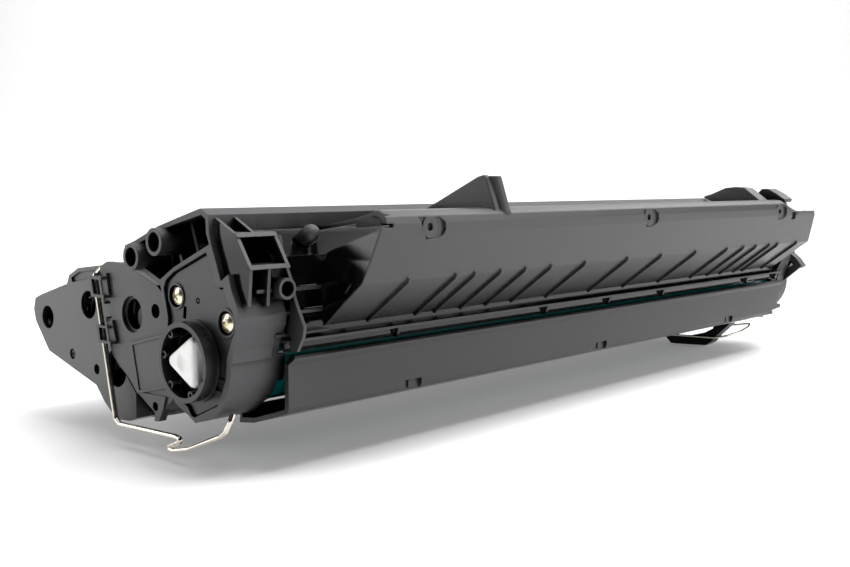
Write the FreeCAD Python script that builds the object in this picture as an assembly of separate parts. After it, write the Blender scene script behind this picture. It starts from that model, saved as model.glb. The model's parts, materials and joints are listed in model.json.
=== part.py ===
import FreeCAD, Part
import os
import math
from FreeCAD import Vector, Placement, Rotation

os.makedirs("parts", exist_ok=True)

# ---------------------------------------------------------------- driving sizes (mm)
# Working frame: x runs along the cartridge from the drive end rim (x = 0),
# y and z are measured from the drum axis, front is -y.
LEN = 373.0            # rim to rim length of the drum frame
XC = 186.09              # middle of the bounding box along x
YC = 34.5              # middle of the bounding box along y
ZB = 35.0              # height of the drum axis above the lowest point
DRUM_R = 15.0
DRUM_IR = 14.2
DRUM_X0, DRUM_X1 = 18.0, 355.0
RING_R = 12.0          # outside radius of the drive end locating ring
RING_IR = 10.5
RING_X = -4.4
SLEEVE_R = 8.0
GAP_DS = 0.35          # gap between drum and developer sleeve
CHARGE_R = 6.0
CHARGE_GAP = 0.32
GEAR_M = 0.8339        # gear module
Z_DRUM, Z_DEV, Z_IDLER, Z_AGIT = 36, 20, 30, 36
GEAR_X0, GEAR_X1 = 10.8, 14.8
WALL = 2.0
BLOCK = 17.0           # depth of the frame end blocks along x
MID0, MID1 = 17.0, 356.0
WIRE_R = 0.9
PIVOT_Y, PIVOT_Z = 41.5, -6.0    # shutter pivot axis

ang = math.radians(-12.0)
CD = DRUM_R + SLEEVE_R + GAP_DS
DEV_Y, DEV_Z = CD * math.cos(ang), CD * math.sin(ang)
cd2 = GEAR_M * (Z_DEV + Z_IDLER) / 2.0
IDL_DIR = math.radians(40.06)
IDL_Y, IDL_Z = DEV_Y + cd2 * math.cos(IDL_DIR), DEV_Z + cd2 * math.sin(IDL_DIR)
cd3 = GEAR_M * (Z_IDLER + Z_AGIT) / 2.0
AG_DIR = math.radians(-10.4)
AG_Y, AG_Z = IDL_Y + cd3 * math.cos(AG_DIR), IDL_Z + cd3 * math.sin(AG_DIR)
CH_ANG = math.radians(76.0)
CH_D = DRUM_R + CHARGE_R + CHARGE_GAP
CH_Y, CH_Z = CH_D * math.cos(CH_ANG), CH_D * math.sin(CH_ANG)


# ---------------------------------------------------------------- helpers
def V(x, y, z):
    return Vector(x, y, z)


def prism(pts, x0, x1):
    w = Part.makePolygon([V(x0, p[0], p[1]) for p in pts] + [V(x0, pts[0][0], pts[0][1])])
    return Part.Face(w).extrude(V(x1 - x0, 0, 0))


def prism_y(pts, y0, y1):
    w = Part.makePolygon([V(p[0], y0, p[1]) for p in pts] + [V(pts[0][0], y0, pts[0][1])])
    return Part.Face(w).extrude(V(0, y1 - y0, 0))


def box(x0, x1, y0, y1, z0, z1):
    return Part.makeBox(x1 - x0, y1 - y0, z1 - z0, V(x0, y0, z0))


def cyl(y, z, r, x0, x1):
    return Part.makeCylinder(r, x1 - x0, V(x0, y, z), V(1, 0, 0))


def tube(y, z, r, ri, x0, x1):
    return cyl(y, z, r, x0, x1).cut(cyl(y, z, ri, x0 - 1, x1 + 1))


def rod(a, b, r):
    d = V(*b) - V(*a)
    return Part.makeCylinder(r, d.Length, V(*a), d)


def fuse(shapes):
    s = shapes[0]
    if len(shapes) > 1:
        s = s.multiFuse(shapes[1:])
    return s


def cut(s, tools):
    return s.cut(tools) if isinstance(tools, list) else s.cut(tools)


def rod_path(pts, r, rb=1.6):
    """bent wire: straight legs joined by circular bends"""
    P = [V(*p) for p in pts]
    edges = []
    last = P[0]
    for i in range(1, len(P) - 1):
        a, b, c = P[i - 1], P[i], P[i + 1]
        u, w = (a - b), (c - b)
        lu, lw = u.Length, w.Length
        u.normalize()
        w.normalize()
        th = math.acos(max(-1.0, min(1.0, u.dot(w))))
        if th > math.radians(176):
            continue
        t = rb / math.tan(th / 2.0)
        t = min(t, 0.45 * lu, 0.45 * lw)
        p0, p1 = b + u * t, b + w * t
        h = (u + w)
        h.normalize()
        rr = t * math.tan(th / 2.0)
        cen = b + h * (rr / math.sin(th / 2.0))
        pm = cen - h * rr
        if (p0 - last).Length > 1e-4:
            edges.append(Part.makeLine(last, p0))
        edges.append(Part.Arc(p0, pm, p1).toShape())
        last = p1
    edges.append(Part.makeLine(last, P[-1]))
    path = Part.Wire(edges)
    d = P[1] - P[0]
    prof = Part.Wire(Part.makeCircle(r, P[0], d))
    return path.makePipeShell([prof], True, False, 0)


def offset_poly(pts, d):
    """inset (d > 0) of a simple polygon given as (y, z) points"""
    area = 0.0
    n = len(pts)
    for i in range(n):
        a, b = pts[i], pts[(i + 1) % n]
        area += a[0] * b[1] - b[0] * a[1]
    s = 1.0 if area > 0 else -1.0
    out = []
    for i in range(n):
        p0, p1, p2 = pts[i - 1], pts[i], pts[(i + 1) % n]
        e1 = (p1[0] - p0[0], p1[1] - p0[1])
        e2 = (p2[0] - p1[0], p2[1] - p1[1])
        l1, l2 = math.hypot(*e1), math.hypot(*e2)
        n1 = (-e1[1] / l1 * s, e1[0] / l1 * s)
        n2 = (-e2[1] / l2 * s, e2[0] / l2 * s)
        k = 1.0 + n1[0] * n2[0] + n1[1] * n2[1]
        k = max(k, 0.35)
        out.append((p1[0] + d * (n1[0] + n2[0]) / k, p1[1] + d * (n1[1] + n2[1]) / k))
    return out


def gear(y, z, n, x0, x1, phase, slack=0.16, ded=1.3, add=0.95):
    """involute spur gear, phase = angle of a tooth centre"""
    rp = GEAR_M * n / 2.0
    pa = math.radians(20)
    rb = rp * math.cos(pa)
    ra = rp + GEAR_M * add
    rf = rp - GEAR_M * ded
    inv = lambda a: math.tan(a) - a
    psi_p = math.pi / (2 * n) - slack / (2 * rp)

    def psi(r):
        if r <= rb:
            return psi_p + inv(pa)
        return psi_p + inv(pa) - inv(math.acos(rb / r))
    pts = []
    r_start = max(rf, rb)
    steps = [rf] + [r_start + (ra - r_start) * k / 4.0 for k in range(5)]
    for i in range(n):
        c = phase + 2 * math.pi * i / n
        left = [(r, -psi(r)) for r in steps]
        right = [(r, psi(r)) for r in reversed(steps)]
        for r, a in left + right:
            pts.append((y + r * math.cos(c + a), z + r * math.sin(c + a)))
    return prism(pts, x0, x1)


def mirror_x(s, about):
    m = s.mirror(V(about, 0, 0), V(1, 0, 0))
    return m


def pan_screw(x, y, z, r_head, r_shaft, length, h=1.5, out=-1, phase=0.3):
    """pan head cross recess screw, head towards x*out"""
    d = V(out, 0, 0)
    head = Part.makeCylinder(r_head, h * 0.55, V(x, y, z), d)
    sph_r = (r_head ** 2 + (h * 0.6) ** 2) / (2 * h * 0.6)
    dome = Part.makeSphere(sph_r, V(x + out * (h * 0.5 + h * 0.6 - sph_r), y, z))
    dome = dome.common(Part.makeCylinder(r_head * 0.995, h * 0.7, V(x + out * h * 0.5, y, z), d))
    head = head.fuse(dome)
    for k in range(2):
        b = Part.makeBox(h * 0.8, r_head * 1.15, r_head * 0.3,
                         V(-h * 0.4, -r_head * 0.575, -r_head * 0.15))
        b.Placement = Placement(V(x + out * h * 0.95, y, z),
                                Rotation(V(1, 0, 0), math.degrees(phase) + 90 * k))
        head = head.cut(b)
    shaft = Part.makeCylinder(r_shaft, length, V(x, y, z), V(-out, 0, 0))
    return head.fuse(shaft)


OUT = {}


def put(name, shape):
    OUT[name] = shape


# ---------------------------------------------------------------- profiles (y, z)
C_OUT = [(-4.5, 45.2), (-8.4, 43.4), (-8.6, 37.8), (-9.9, 33.9), (-11.6, 30.1), (-13.8, 24.6),
         (-17.3, 26.7), (-18.6, 22.4), (-20.9, 18.0), (-22.4, 14.4), (-22.0, 11.4), (-19.9, 7.3),
         (-18.7, 4.5), (-17.8, 1.4), (-17.3, -3.1), (-15.6, -8.2), (-13.0, -12.2), (-0.1, -18.7),
         (3.4, -16.9), (10.4, -14.0), (13.8, -6.4), (15.0, 2.0), (14.4, 12.0), (16.6, 21.3), (25.2, 24.8), (31.5, 25.6),
         (36.4, 32.8), (30.3, 34.6), (17.4, 39.4), (8.2, 41.9)]
# pocket above the V shaped rib
U_POCKET = [(-5.0, 43.4), (-7.0, 42.2), (-7.3, 38.0), (-8.6, 34.9), (2.7, 30.2), (9.3, 27.4), (16.8, 23.2),
            (25.0, 26.3), (31.0, 27.3), (34.4, 31.9), (29.8, 33.2), (16.9, 38.0), (7.9, 40.4)]
# recess that holds the left end plate
D_REC = [(-7.0, 32.6), (-7.9, 31.2), (-8.6, 29.6), (-9.9, 26.6), (-11.2, 23.7), (-12.4, 22.6), (-14.8, 23.0),
         (-15.4, 22.1), (-17.6, 18.2), (-19.3, 15.6), (-20.2, 13.3), (-20.1, 11.0), (-18.1, 6.9), (-16.2, 2.7), (-15.8, -0.5),
         (-15.3, -3.6), (-13.1, -8.4), (-11.3, -11.9), (0.3, -17.1), (1.9, -16.8), (3.7, -14.4), (9.4, -12.0), (12.5, -5.4),
         (13.6, 2.0), (13.0, 12.0), (14.9, 19.9), (15.0, 20.9), (13.8, 23.3), (9.6, 26.0)]
D_PLATE = offset_poly(D_REC, 0.55)
# ---------------------------------------------------------------- drum frame
blk = prism(C_OUT, 0, BLOCK)
# round skirt that wraps the drum end
skirt = cyl(0, 0, 18.0, 0.0, 19.8).cut(cyl(0, 0, 16.05, 15.0, 23.0))
skirt = skirt.common(box(-1, 23, -18.5, 1.0, -18.7, 2.0))
skirt = skirt.cut([box(14, 23, -4.0, 2.0, -19, 3), box(17.4, 23, -18.5, 2.0, -19, -6.2), box(15.8, 23, -18.5, 2.0, -19, -10.6)])
blk = blk.fuse(skirt)
# front pad of the end block
pad = prism([(-22.4, 14.4), (-22.2, 12.2), (-20.3, 7.6), (-19.2, 4.8), (-18.6, 1.3), (-16.3, 1.3), (-16.6, 18.0), (-20.9, 18.0)], 0, 14.2)
blk = blk.fuse(pad)
blk = blk.cut([prism(U_POCKET, -1, 14.0), prism(D_REC, -1, 3.3),
               cyl(0, 0, 10.9, 3.0, 8.0), cyl(0, 0, 16.05, 7.0, 25.0),
               cyl(DEV_Y, DEV_Z, 10.0, 7.0, 18.0)])
# hollow above the drum for the charge roller bearing
blk = blk.cut([prism([(-2.0, 14.0), (11.5, 14.0), (11.5, 28.0), (-2.0, 28.0)], 9.0, 18.0)])
# blind hollow behind the front of the plate recess to keep the wall even
blk = blk.cut([prism([(-16.5, 21.5), (-20.4, 14.2), (-17.9, 8.8), (-13.0, 12.5), (-11.0, 20.5)], 5.5, 20.5)])

add = []
# ribs inside the pocket
add.append(prism([(6.9, 41.6), (8.1, 41.2), (3.4, 28.6), (2.2, 29.2)], 5.0, 14.5))
add.append(prism([(10.6, 31.2), (11.6, 30.6), (9.6, 26.3), (8.4, 26.9)], 3.5, 14.5))
add.append(prism([(17.6, 39.0), (18.6, 38.6), (17.4, 33.2), (16.4, 33.6)], 4.0, 14.5))
add.append(prism([(20.5, 37.8), (21.5, 37.4), (21.0, 25.4), (20.0, 25.0)], 7.0, 14.5))
# round tubes
T1, T2 = (27.3, 29.8), (14.5, 34.9)
add.append(cyl(T1[0], T1[1], 4.25, -3.5, 14.5))
add.append(cyl(T2[0], T2[1], 4.2, -3.5, 14.5))
# spoked boss
FB = (0.6, 36.6)
add.append(tube(FB[0], FB[1], 4.2, 3.4, 9.5, 14.5))
add.append(cyl(FB[0], FB[1], 2.0, 10.0, 14.5))
for k in range(8):
    a = math.pi / 4 * k + 0.2
    add.append(Part.makeBox(3.0, 2.6, 0.5, V(0, 1.6, -0.25)))
    add[-1].Placement = Placement(V(11.0, FB[0], FB[1]), Rotation(V(1, 0, 0), math.degrees(a)))
blk = blk.multiFuse(add)
blk = blk.cut([cyl(T1[0], T1[1], 3.0, -5, 7.0), cyl(T1[0], T1[1], 2.56, -5, 18.0),
               cyl(T2[0], T2[1], 3.0, -5, 12.0), cyl(FB[0], FB[1], 1.0, 9.0, 15.0)])

# front ribs and the open box beside the left end
front = []
fin = [(-8.0, 42.6), (-9.0, 42.4), (-18.2, 37.9), (-24.5, 28.7), (-23.4, 17.8), (-20.0, 17.0), (-13.0, 22.0), (-8.5, 34.0)]
front.append(prism(fin, 2.0, 3.2))
front.append(prism([(-8.0, 42.6), (-9.0, 42.4), (-18.0, 37.9), (-8.0, 37.0)], 8.9, 10.0))
front.append(prism([(-12.0, 29.0), (-24.3, 29.0), (-23.2, 17.5), (-20.0, 16.8), (-14.0, 22.0)], 8.9, 10.0))
front.append(prism([(-8.0, 38.4), (-18.3, 38.4), (-24.9, 28.2), (-8.0, 28.2)], 15.4, 16.6))
front.append(prism([(-8.0, 37.2), (-8.0, 38.4), (-18.4, 38.4), (-19.2, 37.2)], 2.0, 16.6))
front.append(prism([(-8.0, 28.2), (-8.0, 29.4), (-24.2, 29.4), (-24.9, 28.2)], 2.0, 16.6))
front.append(prism([(-8.0, 38.0), (-17.5, 37.0), (-19.0, 30.8), (-22.2, 24.6), (-24.1, 18.7), (-25.6, 15.7), (-28.3, 10.9),
                    (-27.8, 7.9), (-25.2, 3.3), (-22.6, 3.0), (-22.0, 7.5), (-18.0, 9.0), (-16.0, 20.0), (-8.0, 30.0)], 18.4, 19.5))
# small tube with its axis to the front
tb = Part.makeCylinder(3.15, 8.5, V(14.5, -26.0, 22.2), V(0, 1, 0))
front.append(tb)
front.append(prism_y([(6.0, 21.2), (12.0, 21.2), (12.0, 22.2), (6.0, 22.2)], -22.6, -16.0))
front.append(prism_y([(17.0, 20.9), (31.8, 20.9), (31.8, 21.9), (17.0, 21.9)], -22.3, -17.5))
front.append(prism_y([(12.0, 14.0), (34.6, 14.0), (34.6, 15.0), (12.0, 15.0)], -22.3, -17.5))
front.append(prism_y([(14.0, 7.4), (35.0, 7.4), (35.0, 8.3), (14.0, 8.3)], -21.0, -17.5))
# end locating peg
pa_, pb_ = (29.6, -12.6, 33.4), (29.6, -19.0, 37.4)
front.append(rod(pa_, pb_, 2.8))
front.append(Part.makeSphere(2.8, V(*pb_)).common(box(25, 35, -25, -17, 34, 45)))
bore_small = Part.makeCylinder(2.3, 7.5, V(14.5, -27.0, 22.2), V(0, 1, 0))

# middle part: waste toner bin, hollow
MID = [(-8.4, 43.4), (-4.5, 45.2), (36.4, 32.8), (31.5, 25.6), (25.2, 24.8), (16.6, 21.3), (13.6, 22.4), (12.6, 30.0),
       (-9.4, 30.0), (-9.4, 32.0), (14.2, 32.0), (15.4, 24.2), (24.8, 26.8), (30.6, 27.6), (33.0, 31.6), (-4.2, 43.0), (-6.5, 42.2),
       (-6.5, 37.4), (-17.0, 30.0), (-17.0, 14.6), (-15.9, 13.2), (-15.9, 8.2), (-15.4, 8.2), (-15.4, 7.2), (-16.6, 5.4), (-22.6, 5.6),
       (-22.6, 6.4), (-17.6, 6.9), (-17.6, 12.4), (-19.0, 13.8), (-19.0, 31.0), (-8.4, 38.4)]
mid = prism(MID, BLOCK - 0.01, LEN - BLOCK + 0.01)
bars = [prism([(-21.0, 3.3), (-20.2, 3.6), (-20.2, 5.7), (-19.2, 5.7), (-19.2, 2.5), (-19.6, 2.5)], BLOCK + 1, LEN - BLOCK - 1)]
for xx in (22.0, 64.8, 146.9, 190.6, 234.5, 316.7, 350.0):
    bars.append(prism([(-22.4, 5.5), (-21.2, 2.5), (-19.7, 2.5), (-18.8, 5.5)], xx - 0.7, xx + 0.7))
for xx in (60.0, 100.0, 140.0, 180.0, 220.0, 260.0, 300.0):
    bars.append(prism([(-18.5, 30.0), (-18.5, 10.8), (-20.4, 11.4), (-24.0, 14.4), (-24.0, 27.0)], xx - 0.6, xx + 0.6))
# end closures of the bin
for x0, x1 in ((BLOCK - 2.5, BLOCK), (LEN - BLOCK, LEN - BLOCK + 2.5)):
    bars.append(prism([(-8.4, 43.4), (-4.5, 45.2), (36.4, 32.8), (31.5, 25.6), (25.2, 24.8), (16.6, 21.3), (13.6, 22.4), (12.6, 30.0), (-9.4, 30.0),
                       (-12.0, 26.0), (-16.2, 18.0), (-17.2, 8.0), (-19.0, 8.0), (-19.0, 31.0), (-8.4, 38.4)], x0, x1))

# right end block, mirrored
blk_r = mirror_x(blk, LEN / 2.0)
# window and pointed tip on the far end of the frame
tip_r = prism([(-16.6, 19.0), (-19.6, 16.0), (-21.2, 15.8), (-25.1, 12.8), (-28.4, 8.7), (-26.6, 7.2), (-18.9, 0.6), (-16.6, 1.6)], LEN - 6.0, LEN - 4.0)
tip_r = tip_r.fuse(prism([(-16.6, 19.0), (-19.6, 16.0), (-21.2, 15.8), (-25.1, 12.8), (-28.4, 8.7), (-26.6, 7.2), (-25.4, 8.4), (-24.2, 12.0), (-20.8, 14.4), (-18.0, 14.6)], LEN - 6.0, LEN))
tip_cut = prism([(-19.0, 13.4), (-20.6, 13.2), (-23.4, 9.0), (-21.4, 7.6), (-19.4, 9.6)], LEN - 7.0, LEN - 3.0)
front = [f.cut(prism(D_REC, -1, 3.3)) for f in front]
tip_r = tip_r.cut(mirror_x(prism(D_REC, -1, 3.3), LEN / 2.0))
frame = blk.multiFuse(front + [mid, blk_r, tip_r] + bars)
for s in (1, -1):
    c = LEN / 2.0
    xa, xb = (BLOCK - 0.3, BLOCK + 4.4)
    if s < 0:
        xa, xb = LEN - xb, LEN - xa
    frame = frame.cut(box(xa, xb, 19.8, 40.0, 19.0, 36.2))
frame = frame.cut([bore_small, tip_cut, cyl(T1[0], T1[1], 2.56, 5.0, 22.0), cyl(T1[0], T1[1], 2.56, LEN - 22.0, LEN - 5.0)])
# small catch hooks on the top of the far end and a seam ledge
hooks = [box(330.0, 342.0, -8.2, 4.0, 42.6, 44.4), box(344.0, 356.0, 2.0, 8.0, 40.6, 43.4)]
frame = frame.multiFuse(hooks)
frame = frame.cut([box(332.0, 340.0, -6.2, 2.0, 43.6, 50.0), cyl(CH_Y, CH_Z, 2.7, 8.0, 20.0), cyl(CH_Y, CH_Z, 2.7, LEN - 20.0, LEN - 8.0)])
put("drum_frame", frame)

# ---------------------------------------------------------------- left end plate with the locating ring
d = prism(D_PLATE, 1.0, 3.2)
d = d.multiFuse([cyl(0, 0, RING_R, RING_X, 3.2), cyl(0, 0, RING_R + 0.4, -0.2, 3.2).common(box(-1, 3.2, -12.6, 12.6, -12.5, 12.5)),
                 cyl(-15.1, 12.5, 4.35, 0.55, 3.2), cyl(9.6, 18.6, 4.1, 0.6, 3.2)])
d = d.cut([cyl(0, 0, RING_IR, RING_X - 1, 6.0), cyl(-15.1, 12.5, 3.6, -0.5, 2.2), cyl(-15.1, 12.5, 1.7, 0, 5),
           cyl(9.6, 18.6, 3.4, -0.5, 2.2), cyl(9.6, 18.6, 1.7, 0, 5)])
d = d.cut([cyl(-1.2, 18.0, 0.95, 0.0, 2.0), prism([(6.6, 12.2), (5.0, 12.0), (4.5, 15.6), (6.1, 16.0)], 0.0, 5.0)])
lug = []
for a in (52.0, 8.0, 312.0, 250.0, 128.0):
    ar = math.radians(a)
    yy, zz = 9.95 * math.cos(ar), 9.95 * math.sin(ar)
    lug.append(cyl(yy, zz, 1.25, RING_X + 0.5, RING_X + 4.0).common(cyl(0, 0, RING_IR + 0.4, RING_X, 4)))
d = d.multiFuse(lug + [cyl(-1.2, 18.0, 0.45, 1.0, 2.2), box(0.35, 1.2, -13.9, -11.6, -5.0, -4.1), box(0.35, 1.2, -12.4, -9.2, -8.4, -7.5)])
d = d.cut([cyl(9.95 * math.cos(math.radians(a)), 9.95 * math.sin(math.radians(a)), 0.6, RING_X - 1, RING_X + 2.5) for a in (52.0, 8.0, 312.0, 250.0, 128.0)])
d = d.cut([box(RING_X - 0.1, RING_X + 2.0, -10.6, -9.0, -4.4, -2.6)])
put("left_end_plate", d)

# right end plate, with the pin boss
dr = mirror_x(prism(D_PLATE, 1.0, 3.2), LEN / 2.0)
dr = dr.multiFuse([cyl(0, 0, 7.5, LEN - 3.2, LEN + 2.4)])
dr = dr.cut([cyl(0, 0, 3.02, LEN - 10, LEN + 10), cyl(-15.1, 12.5, 3.6, LEN - 2.2, LEN + 0.5), cyl(-15.1, 12.5, 1.7, LEN - 5, LEN),
             cyl(9.6, 18.6, 3.4, LEN - 2.2, LEN + 0.5), cyl(9.6, 18.6, 1.7, LEN - 5, LEN), box(LEN - 1.65, LEN, -4.7, 4.7, -13.1, -9.9)])
put("right_end_plate", dr)

screws = [pan_screw(2.2, -14.9, 12.5, 2.7, 1.45, 7.5, 1.7, -1, 0.3), pan_screw(2.2, 9.4, 18.6, 2.6, 1.45, 7.5, 1.7, -1, 1.0),
          pan_screw(LEN - 2.2, -14.9, 12.5, 2.7, 1.45, 7.5, 1.7, 1, 0.5), pan_screw(LEN - 2.2, 9.4, 18.6, 2.6, 1.45, 7.5, 1.7, 1, 0.2)]
# thread holes in the frame under the screws
holes = [cyl(-14.9, 12.5, 1.5, 0, 11), cyl(9.4, 18.6, 1.5, 0, 11), cyl(-14.9, 12.5, 1.5, LEN - 11, LEN), cyl(9.4, 18.6, 1.5, LEN - 11, LEN)]
OUT["drum_frame"] = OUT["drum_frame"].cut(holes)
put("end_plate_screws", Part.makeCompound(screws))
put("pocket_screws", Part.makeCompound([pan_screw(10.0, FB[0], FB[1], 1.85, 0.95, 3.8, 1.1, -1, 0.4),
                                        pan_screw(LEN - 10.0, FB[0], FB[1], 1.85, 0.95, 3.8, 1.1, 1, 0.4)]))

# ---------------------------------------------------------------- drum
put("drum_tube", tube(0, 0, DRUM_R, DRUM_IR, DRUM_X0, DRUM_X1))
DIR_DEV = ang
g = gear(0, 0, Z_DRUM, GEAR_X0, GEAR_X1, DIR_DEV)
g = g.multiFuse([cyl(0, 0, 14.15, 18.0, 30.0), cyl(0, 0, 13.4, GEAR_X1 - 0.2, 15.4), cyl(0, 0, 14.8, 15.2, 17.8), cyl(0, 0, 14.1, 17.5, 18.5), cyl(0, 0, 10.22, 0.4, 12.0)])
g = g.cut([cyl(0, 0, 9.0, -1, 8.0), cyl(0, 0, 12.0, 19.0, 31.0), cyl(0, 0, 3.6, 7.0, 20.0)])
put("drum_gear_flange", g)


def tri_wire(x, r, rc, rot):
    """three cornered outline with round corners, r = corner circle centre radius"""
    cs = [(r * math.cos(rot + k * 2 * math.pi / 3), r * math.sin(rot + k * 2 * math.pi / 3)) for k in range(3)]
    pts = []
    for k in range(3):
        a = rot + k * 2 * math.pi / 3
        c0 = cs[k]
        for da in (-math.pi / 3, 0.0, math.pi / 3):
            pts.append((c0[0] + rc * math.cos(a + da), c0[1] + rc * math.sin(a + da)))
    edges = []
    for k in range(3):
        p = pts[3 * k:3 * k + 3]
        edges.append(Part.Arc(V(x, *p[0]), V(x, *p[1]), V(x, *p[2])).toShape())
        q = pts[(3 * k + 3) % 9]
        edges.append(Part.makeLine(V(x, *p[2]), V(x, *q)))
    return Part.Wire(edges)


COUP_ROT = math.radians(-2.0)
secs = []
for i in range(5):
    t = i / 4.0
    secs.append(tri_wire(-2.6 + 8.6 * t, 6.2 - 0.1 * t, 2.1, COUP_ROT + math.radians(24.0) * t))
coup = Part.makeLoft(secs, True, False)
cap = Part.makeLoft([tri_wire(-3.7, 5.6, 1.2, COUP_ROT), tri_wire(-3.35, 6.05, 1.7, COUP_ROT), tri_wire(-2.6, 6.2, 2.1, COUP_ROT)], True, True)
coup = coup.fuse(cap)
coup = coup.multiFuse([cyl(0, 0, 8.9, 5.6, 7.9), cyl(0, 0, 3.5, 7.5, 16.0)])
coup = coup.cut([Part.makeSphere(7.0, V(-9.9, 0, 0))])
put("drum_coupling", coup)

fr = fuse([cyl(0, 0, 14.15, DRUM_X1 - 12.0, DRUM_X1), cyl(0, 0, 14.8, DRUM_X1 + 0.2, DRUM_X1 + 2.2), cyl(0, 0, 14.1, DRUM_X1 - 0.5, DRUM_X1 + 1.0),
           cyl(0, 0, 8.0, DRUM_X1 + 2.0, LEN - 8.2)])
fr = fr.cut([cyl(0, 0, 3.08, DRUM_X1 - 13, LEN), cyl(0, 0, 12.0, DRUM_X1 - 13.0, DRUM_X1 - 3.0)])
put("drum_end_flange", fr)
put("drum_pin", fuse([cyl(0, 0, 3.0, DRUM_X1 - 2.0, LEN + 3.2), cyl(0, 0, 4.6, LEN + 2.42, LEN + 3.6)]))
gp = cyl(0, 0, 11.8, 342.2, 342.7).cut(cyl(0, 0, 3.4, 340, 345))
gp = gp.cut([box(340, 345, -12, 12, 4.2, 12.5)])
gp = gp.fuse(box(342.2, 342.7, 7.5, 14.1, -1.2, 1.2))
put("drum_ground_plate", gp)

# ---------------------------------------------------------------- charge roller
put("charge_roller", tube(CH_Y, CH_Z, CHARGE_R, 2.98, 24.0, LEN - 24.0))
put("charge_shaft", fuse([cyl(CH_Y, CH_Z, 2.95, 23.0, LEN - 23.0), cyl(CH_Y, CH_Z, 2.2, 11.0, LEN - 11.0)]))


def ch_bearing(x0, x1):
    b = box(x0, x1, CH_Y - 3.6, CH_Y + 3.6, CH_Z - 3.0, CH_Z + 3.8)
    return b.cut(cyl(CH_Y, CH_Z, 2.27, x0 - 1, x1 + 1))


put("charge_bearings", Part.makeCompound([ch_bearing(10.4, 14.6 - 0.4), ch_bearing(LEN - 14.2, LEN - 10.4)]))


def curve_rod(pts, r):
    """round wire along short straight steps, mitred at the corners"""
    path = Part.makePolygon([V(*q) for q in pts])
    d = V(*pts[1]) - V(*pts[0])
    prof = Part.Wire(Part.makeCircle(r, V(*pts[0]), d))
    return path.makePipeShell([prof], True, False, 1)


def spring_z(x, y, z0, z1, r, rw, turns):
    n = int(turns * 12)
    return curve_rod([(x + r * math.cos(2 * math.pi * k / 12), y + r * math.sin(2 * math.pi * k / 12),
                       z0 + rw + (z1 - z0 - 2 * rw) * k / n) for k in range(n + 1)], rw)


sp = [spring_z(12.3, CH_Y, CH_Z + 3.85, 27.9, 2.2, 0.3, 3), spring_z(LEN - 12.3, CH_Y, CH_Z + 3.85, 27.9, 2.2, 0.3, 3)]
put("charge_springs", Part.makeCompound(sp))

# ---------------------------------------------------------------- cleaning blade
put("cleaning_blade_bracket", prism([(4.0, 29.9), (4.0, 28.7), (-9.4, 28.7), (-9.4, 19.4), (-10.6, 19.4), (-10.6, 29.9)], 22.0, LEN - 22.0))
bt = math.radians(122.5)
ty, tz = 15.32 * math.cos(bt), 15.32 * math.sin(bt)
put("cleaning_blade", prism([(-12.5, 25.5), (-10.65, 25.5), (-10.65, 18.6), (ty + 0.35, tz + 0.25), (ty, tz), (ty - 1.1, tz - 0.35), (-12.5, 18.2)], 24.0, LEN - 24.0))
put("scoop_sheet", prism([(-15.3, 8.15), (-15.3, 7.95), (-13.6, 9.2), (-13.4, 9.5), (-15.0, 8.3)], 24.0, LEN - 24.0))
put("blade_screws", Part.makeCompound([Part.makeCylinder(2.6, 1.3, V(x, 0.0, 28.65), V(0, 0, -1)).fuse(Part.makeCylinder(1.4, 3.2, V(x, 0.0, 28.6), V(0, 0, 1))) for x in (26.0, LEN - 26.0)]))
OUT["cleaning_blade_bracket"] = OUT["cleaning_blade_bracket"].cut([Part.makeCylinder(1.5, 4, V(x, 0.0, 27.5), V(0, 0, 1)) for x in (26.0, LEN - 26.0)])
OUT["drum_frame"] = OUT["drum_frame"].cut([Part.makeCylinder(1.45, 4, V(x, 0.0, 29.0), V(0, 0, 1)) for x in (26.0, LEN - 26.0)])

# ---------------------------------------------------------------- paper guide with ribs
GX0, GX1 = 35.0, 344.0
GX_CUT = [(37.2, 50.0), (37.2, 40.9), (34.8, 39.2), (33.8, 36.2), (32.2, 30.0), (30.1, 23.6), (30.7, 17.0), (31.9, 8.0)]
g_poly = [(-37.5, 44.6), (-40.9, 44.3), (-42.9, 42.8), (-43.8, 40.4), (-43.6, 37.2), (-40.6, 23.3), (-22.4, 9.6),
          (-21.4, 11.1), (-39.0, 24.4), (-41.8, 37.2), (-41.9, 40.2), (-41.3, 41.6), (-40.0, 42.6), (-37.5, 42.8)]
gd = prism(g_poly, 29.0, GX1)
# left end wall of the guide, seen from the end
g_endw = prism([(-41.4, 38.6), (-26.0, 33.0), (-22.7, 31.6), (-22.7, 11.0), (-21.3, 9.4), (-22.6, 9.6), (-35.9, 22.8), (-40.6, 23.3), (-43.6, 37.2), (-43.8, 39.0)], 29.0, 38.0)
g_endw = g_endw.cut(prism_y([(q[0] + 1.6, q[1]) for q in GX_CUT[2:]] + [(45.0, 0.0), (45.0, 50.0), (36.4, 50.0)], -46.0, -18.0))
# cover plate that slopes back from the top band at the left end
g_wing = prism([(-42.6, 43.4), (-39.6, 44.6), (-30.5, 42.1), (-10.6, 38.8), (-10.6, 37.4), (-30.5, 40.4), (-41.6, 41.2)], GX0 + 2.6, GX0 + 4.4)
g_wing = g_wing.fuse(prism([(-41.6, 40.4), (-39.6, 42.7), (-30.5, 40.6), (-30.5, 39.2), (-39.0, 39.8)], GX0 + 2.6, GX0 + 30.0))
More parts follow.
